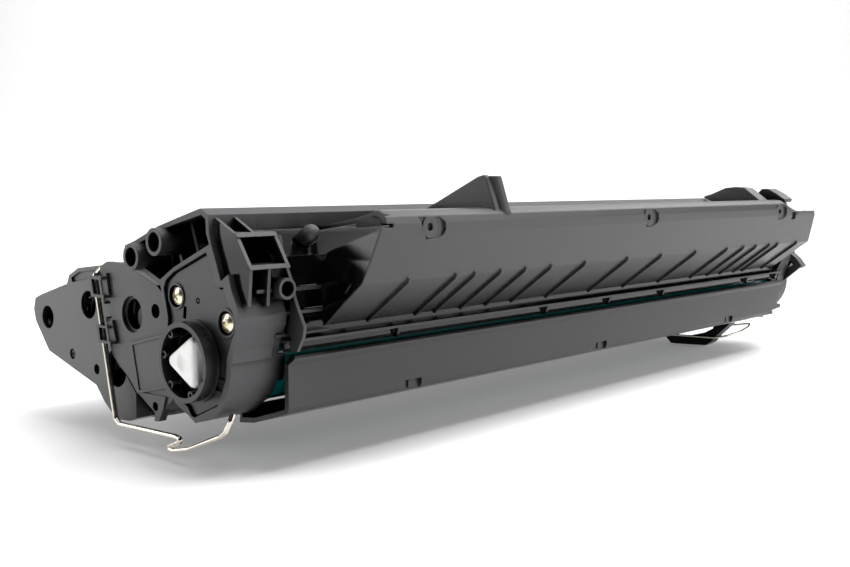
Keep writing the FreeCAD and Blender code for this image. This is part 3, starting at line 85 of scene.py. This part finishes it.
def span(nt, value, lo, hi, soft=0.0008):
    """one between lo and hi, with soft ends"""
    up = ramp(nt, value, lo - soft, 0.0, lo + soft, 1.0)
    down = ramp(nt, value, hi - soft, 1.0, hi + soft, 0.0)
    return times(nt, up, down)


def times(nt, a, b):
    m = nt.nodes.new("ShaderNodeMath")
    m.operation = "MULTIPLY"
    nt.links.new(a, m.inputs[0])
    nt.links.new(b, m.inputs[1])
    return m.outputs[0]


def painted_shade_zone(nt, vec, shade_zone):
    """painted shade mask: a region (x range, y range, z range, only faces to the left, sloped limit) whose base
    colour is darkened to near black, with lower roughness
    """
    sep = nt.nodes.new("ShaderNodeSeparateXYZ")
    nt.links.new(vec, sep.inputs[0])
    out = None
    for k in range(3):
        if shade_zone[k] is not None:
            f = span(nt, sep.outputs[k], shade_zone[k][0], shade_zone[k][1])
            out = f if out is None else times(nt, out, f)
    if shade_zone[4]:
        sl = nt.nodes.new("ShaderNodeVectorMath")
        sl.operation = "DOT_PRODUCT"
        nt.links.new(vec, sl.inputs[0])
        sl.inputs[1].default_value = (0.0, shade_zone[4][0], shade_zone[4][1])
        out = times(nt, out, ramp(nt, sl.outputs["Value"], shade_zone[4][2] - 0.0004, 1.0, shade_zone[4][2] + 0.0004, 0.0))
    if shade_zone[3]:
        geo = nt.nodes.new("ShaderNodeNewGeometry")
        ns = nt.nodes.new("ShaderNodeSeparateXYZ")
        nt.links.new(geo.outputs["Normal"], ns.inputs[0])
        out = times(nt, out, ramp(nt, ns.outputs[0], -0.35, 0.0, -0.6, 1.0))
    return out


def plastic(name, col, rough=0.46, grain=0.055, bevel=0.00028, var=0.14, spec=0.35, grain_scale=5200.0, edge_highlight=0.5, depth=0.03, shade_zone=None, shade_zone2=None):
    m, nt, b = new_mat(name)
    vec = tex_coord(nt)
    big = noise(nt, vec, 14.0, 4.0)
    fine = noise(nt, vec, 900.0, 2.0)
    lo = tuple(c * (1.0 - var) for c in col)
    hi = tuple(min(1.0, c * (1.0 + var)) for c in col)
    c1 = mix_col(nt, big, lo, hi)
    # painted highlight: slightly lighter colour along rounded edges, found from the bevel normal
    bev = nt.nodes.new("ShaderNodeBevel")
    bev.samples = 4
    bev.inputs["Radius"].default_value = bevel
    geo = nt.nodes.new("ShaderNodeNewGeometry")
    dot = nt.nodes.new("ShaderNodeVectorMath")
    dot.operation = "DOT_PRODUCT"
    nt.links.new(bev.outputs["Normal"], dot.inputs[0])
    nt.links.new(geo.outputs["Normal"], dot.inputs[1])
    highlight_mask = ramp(nt, dot.outputs["Value"], 0.995, 0.0, 0.86, edge_highlight)
    highlight_col = tuple(min(1.0, c * 2.1 + 0.01) for c in col)
    c2 = mix_col(nt, highlight_mask, c1, highlight_col)
    # painted shade: base colour darker in the depth of recesses, from ambient occlusion
    ao = nt.nodes.new("ShaderNodeAmbientOcclusion")
    ao.samples = 10
    ao.inputs["Distance"].default_value = depth
    shade = ramp(nt, ao.outputs["AO"], 0.40, 0.0, 0.97, 1.0)
    c3 = mix_col(nt, shade, tuple(c * 0.06 for c in col), c2)
    r0 = ramp(nt, fine, 0.2, rough - 0.04, 0.8, rough + 0.05)
    # painted shade: inside each shade zone the base colour goes near black and roughness drops
    for z in [z for z in (shade_zone, shade_zone2) if z]:
        in_shade = painted_shade_zone(nt, vec, z)
        c3 = mix_col(nt, in_shade, c3, tuple(c * 0.04 for c in col))
        r0 = times(nt, r0, ramp(nt, in_shade, 0.0, 1.0, 1.0, 0.14))
    nt.links.new(c3, b.inputs["Base Color"])
    # less rubbed, smoother skin in the recesses
    r1 = times(nt, r0, ramp(nt, ao.outputs["AO"], 0.30, 0.45, 0.80, 1.0))
    nt.links.new(r1, b.inputs["Roughness"])
    b.inputs["Specular IOR Level"].default_value = spec
    bump = nt.nodes.new("ShaderNodeBump")
    bump.inputs["Strength"].default_value = grain
    bump.inputs["Distance"].default_value = 0.0002
    g = noise(nt, vec, grain_scale, 2.0, 0.6)
    nt.links.new(g, bump.inputs["Height"])
    nt.links.new(bev.outputs["Normal"], bump.inputs["Normal"])
    nt.links.new(bump.outputs["Normal"], b.inputs["Normal"])
    return m


def metal(name, col, rough=0.22, aniso=False, var=0.06, bevel=0.0):
    m, nt, b = new_mat(name)
    vec = tex_coord(nt)
    big = noise(nt, vec, 60.0, 3.0)
    c1 = mix_col(nt, big, tuple(c * (1 - var) for c in col), tuple(min(1.0, c * (1 + var)) for c in col))
    nt.links.new(c1, b.inputs["Base Color"])
    b.inputs["Metallic"].default_value = 1.0
    fine = noise(nt, vec, 700.0, 3.0)
    nt.links.new(ramp(nt, fine, 0.2, max(0.05, rough - 0.05), 0.8, rough + 0.07), b.inputs["Roughness"])
    bump = nt.nodes.new("ShaderNodeBump")
    bump.inputs["Strength"].default_value = 0.05
    bump.inputs["Distance"].default_value = 0.0002
    nt.links.new(noise(nt, vec, 1400.0, 3.0), bump.inputs["Height"])
    if bevel:
        bev = nt.nodes.new("ShaderNodeBevel")
        bev.samples = 4
        bev.inputs["Radius"].default_value = bevel
        nt.links.new(bev.outputs["Normal"], bump.inputs["Normal"])
    nt.links.new(bump.outputs["Normal"], b.inputs["Normal"])
    return m


# edge_highlight sets how strongly each material's edges carry the painted highlight
MATS = {
    # the shade zones below are painted shade: the frame's lower slope and recess, and a left-facing strip at the
    # near end
    "frame_plastic": plastic("frame_plastic_m", (0.0610, 0.0610, 0.0645), 0.54, edge_highlight=0.55,
                             shade_zone=((-0.1662, 0.166), (-0.0562, -0.040), (0.0372, 0.0736), False, (-0.572, 0.820, 0.0862)),
                             shade_zone2=((-0.1849, -0.1824), (-0.0600, -0.0440), (0.0530, 0.0785), True, None)),
    "end_plate_plastic": plastic("end_plate_plastic_m", (0.0300, 0.0300, 0.0318), 0.36, edge_highlight=0.45),
    # painted shade zones on the guide's left end wall and wing
    "guide_plastic": plastic("guide_plastic_m", (0.0480, 0.0476, 0.0484), 0.40, bevel=0.0009, edge_highlight=0.12, depth=0.06,
                             shade_zone=((-0.1600, -0.1440), None, (0.0300, 0.0725), True, None), shade_zone2=((-0.1600, -0.1472), (-0.0715, -0.030), (0.0590, 0.0732), False, None)),
    "shutter_plastic": plastic("shutter_plastic_m", (0.0360, 0.0356, 0.0364), 0.42, bevel=0.0004, edge_highlight=0.2),
    "hopper_plastic": plastic("hopper_plastic_m", (0.0400, 0.0400, 0.0415), 0.42, edge_highlight=0.2),
    "cover_plastic": plastic("cover_plastic_m", (0.0520, 0.0520, 0.0545), 0.40, bevel=0.0004, edge_highlight=0.25),
    "cover_plastic_dark": plastic("cover_plastic_dark_m", (0.0880, 0.0880, 0.0900), 0.42, bevel=0.0004, edge_highlight=0.2),
    "arm_plastic": plastic("arm_plastic_m", (0.0015, 0.0015, 0.0016), 0.30, spec=0.12, edge_highlight=0.1),
    "gear_plastic_black": plastic("gear_black_m", (0.0080, 0.0080, 0.0085), 0.36),
    "bearing_plastic": plastic("bearing_m", (0.020, 0.020, 0.020), 0.42),
    "plug_plastic": plastic("plug_m", (0.012, 0.012, 0.0125), 0.45),
    "magnet_black": plastic("magnet_m", (0.010, 0.010, 0.010), 0.55),
    "gear_plastic_white": plastic("gear_white_m", (0.72, 0.71, 0.68), 0.40, var=0.04, edge_highlight=0.1),
    "roller_rubber": plastic("roller_rubber_m", (0.012, 0.012, 0.012), 0.62),
    "blade_rubber": plastic("blade_rubber_m", (0.36, 0.20, 0.08), 0.35, var=0.08, edge_highlight=0.1),
    "film_sheet": plastic("film_m", (0.35, 0.35, 0.33), 0.2, var=0.05, edge_highlight=0.0),
    "screw_black": metal("screw_black_m", (0.05, 0.05, 0.05), 0.35),
    "screw_steel": metal("screw_m", (0.80, 0.74, 0.58), 0.24, bevel=0.00012),
    "pin_steel": metal("pin_m", (0.62, 0.62, 0.63), 0.25),
    "spring_steel": metal("spring_m", (0.60, 0.60, 0.60), 0.28),
    "bracket_steel": metal("bracket_m", (0.58, 0.59, 0.60), 0.33),
    "contact_brass": metal("brass_m", (0.78, 0.58, 0.28), 0.28),
    "sleeve_aluminium": metal("sleeve_m", (0.24, 0.24, 0.25), 0.5),
    "wire_nickel": metal("wire_m", (0.66, 0.61, 0.54), 0.16, var=0.10),
}


def drum_mat():
    m, nt, b = new_mat("drum_coat_m")
    vec = tex_coord(nt)
    big = noise(nt, vec, 20.0, 3.0)
    nt.links.new(mix_col(nt, big, (0.0, 0.150, 0.158), (0.002, 0.195, 0.205)), b.inputs["Base Color"])
    b.inputs["Roughness"].default_value = 0.22
    b.inputs["Specular IOR Level"].default_value = 0.5
    b.inputs["Coat Weight"].default_value = 0.3
    b.inputs["Coat Roughness"].default_value = 0.08
    bump = nt.nodes.new("ShaderNodeBump")
    bump.inputs["Strength"].default_value = 0.02
    bump.inputs["Distance"].default_value = 0.0002
    nt.links.new(noise(nt, vec, 2500.0, 2.0), bump.inputs["Height"])
    nt.links.new(bump.outputs["Normal"], b.inputs["Normal"])
    return m


def coupling_mat():
    m, nt, b = new_mat("coupling_white_m")
    vec = tex_coord(nt)
    big = noise(nt, vec, 120.0, 3.0)
    nt.links.new(mix_col(nt, big, (0.80, 0.79, 0.78), (0.86, 0.855, 0.85)), b.inputs["Base Color"])
    b.inputs["Roughness"].default_value = 0.36
    b.inputs["Subsurface Weight"].default_value = 0.35
    b.inputs["Subsurface Radius"].default_value = (0.002, 0.0018, 0.0016)
    b.inputs["Subsurface Scale"].default_value = 0.8
    bev = nt.nodes.new("ShaderNodeBevel")
    bev.samples = 4
    bev.inputs["Radius"].default_value = 0.0006
    bump = nt.nodes.new("ShaderNodeBump")
    bump.inputs["Strength"].default_value = 0.03
    bump.inputs["Distance"].default_value = 0.0002
    nt.links.new(noise(nt, vec, 1500.0, 2.0), bump.inputs["Height"])
    nt.links.new(bev.outputs["Normal"], bump.inputs["Normal"])
    nt.links.new(bump.outputs["Normal"], b.inputs["Normal"])
    return m


MATS["drum_coat"] = drum_mat()
MATS["coupling_white"] = coupling_mat()

for name, o in N.items():
    m = MATS[SLOT[name]]
    if len(o.material_slots) == 0:
        o.data.materials.append(m)
    for s in o.material_slots:
        s.material = m

# ------------------------------------------------------------------ stage
def plain_mat(name, col, rough=0.9, glow=0.0):
    m, nt, b = new_mat(name)
    vec = tex_coord(nt)
    n = noise(nt, vec, 3.0, 2.0)
    nt.links.new(mix_col(nt, n, tuple(c * 0.995 for c in col), col), b.inputs["Base Color"])
    b.inputs["Roughness"].default_value = rough
    b.inputs["Specular IOR Level"].default_value = 0.1
    b.inputs["Emission Color"].default_value = (1.0, 1.0, 1.0, 1.0)
    b.inputs["Emission Strength"].default_value = glow
    return m


def sweep_floor():
    """floor with a curved rise behind the object"""
    fwd = Vector((0.7328, 0.6739, 0.0)).normalized()
    side = Vector((fwd.y, -fwd.x, 0.0))
    prof = [(-3.0, 0.0), (1.6, 0.0)]
    for k in range(1, 13):
        a = math.pi / 2 * k / 12
        prof.append((1.6 + 1.2 * math.sin(a), 1.2 - 1.2 * math.cos(a)))
    prof.append((2.8, 5.0))
    verts, faces = [], []
    for d, h in prof:
        for s in (-4.0, 4.0):
            v = fwd * d + side * s
            verts.append((v.x, v.y, h - 0.0004))
    for i in range(len(prof) - 1):
        faces.append((2 * i, 2 * i + 1, 2 * i + 3, 2 * i + 2))
    me = bpy.data.meshes.new("floor_mesh")
    me.from_pydata(verts, [], faces)
    for p in me.polygons:
        p.use_smooth = True
    o = bpy.data.objects.new("stage_floor", me)
    bpy.context.scene.collection.objects.link(o)
    o.data.materials.append(plain_mat("stage_m", (0.80, 0.80, 0.80), glow=0.18))
    return o


floor = sweep_floor()

world = bpy.data.worlds.new("studio") if bpy.context.scene.world is None else bpy.context.scene.world
bpy.context.scene.world = world
world.use_nodes = True
bg = world.node_tree.nodes.get("Background")
bg.inputs["Color"].default_value = (1.0, 1.0, 1.0, 1.0)
bg.inputs["Strength"].default_value = 0.02
bpy.context.scene.view_settings.view_transform = "Standard"
bpy.context.scene.view_settings.look = "None"


def area(name, loc, target, size, power, size_y=None):
    l = bpy.data.lights.new(name, "AREA")
    l.shape = "RECTANGLE"
    l.size = size
    l.size_y = size_y or size
    l.energy = power
    o = bpy.data.objects.new(name, l)
    o.location = loc
    d = Vector(target) - Vector(loc)
    o.rotation_euler = d.to_track_quat("-Z", "Y").to_euler()
    bpy.context.scene.collection.objects.link(o)
    return o


LIGHTS = [
    ("top_soft", (0.0, 0.1, 1.4), (0.0, 0.0, 0.0), 1.6, 13.0, 1.2),
    ("top_near", (0.1, -0.55, 1.3), (0.0, 0.0, 0.0), 0.9, 17.0, 0.5),
    ("top_right", (1.0, -0.3, 1.0), (0.0, 0.0, 0.0), 0.9, 12.0, 0.7),
    ("front_soft", (0.8, -1.39, 0.5), (0.0, 0.0, 0.04), 1.2, 9.0, 1.0),
    ("left_back", (-1.13, 1.13, 0.5), (0.0, 0.0, 0.04), 1.2, 13.0, 1.0),
    ("back_wash", (0.9, 0.8, 1.7), (2.0, 1.85, 0.9), 1.8, 42.0, 1.8),
]
for item in LIGHTS:
    area(*item)

# ------------------------------------------------------------------ camera
cam_data = bpy.data.cameras.new("camera")
cam_data.sensor_fit = "HORIZONTAL"
cam_data.sensor_width = 36.0
cam_data.lens = 36.0 * 1050.0 / 850.0
cam_data.clip_start = 0.01
cam_data.clip_end = 50.0
cam = bpy.data.objects.new("camera", cam_data)
right = Vector((0.6769, -0.7360, 0.0)).normalized()
fwd = Vector((0.7328, 0.6739, -0.0943)).normalized()
up = right.cross(fwd).normalized()
right = fwd.cross(up).normalized()
mat = Matrix((right, up, -fwd)).transposed().to_4x4()
mat.translation = P(-180.0, -258.5, 52.2)
cam.matrix_world = mat
bpy.context.scene.collection.objects.link(cam)
bpy.context.scene.camera = cam
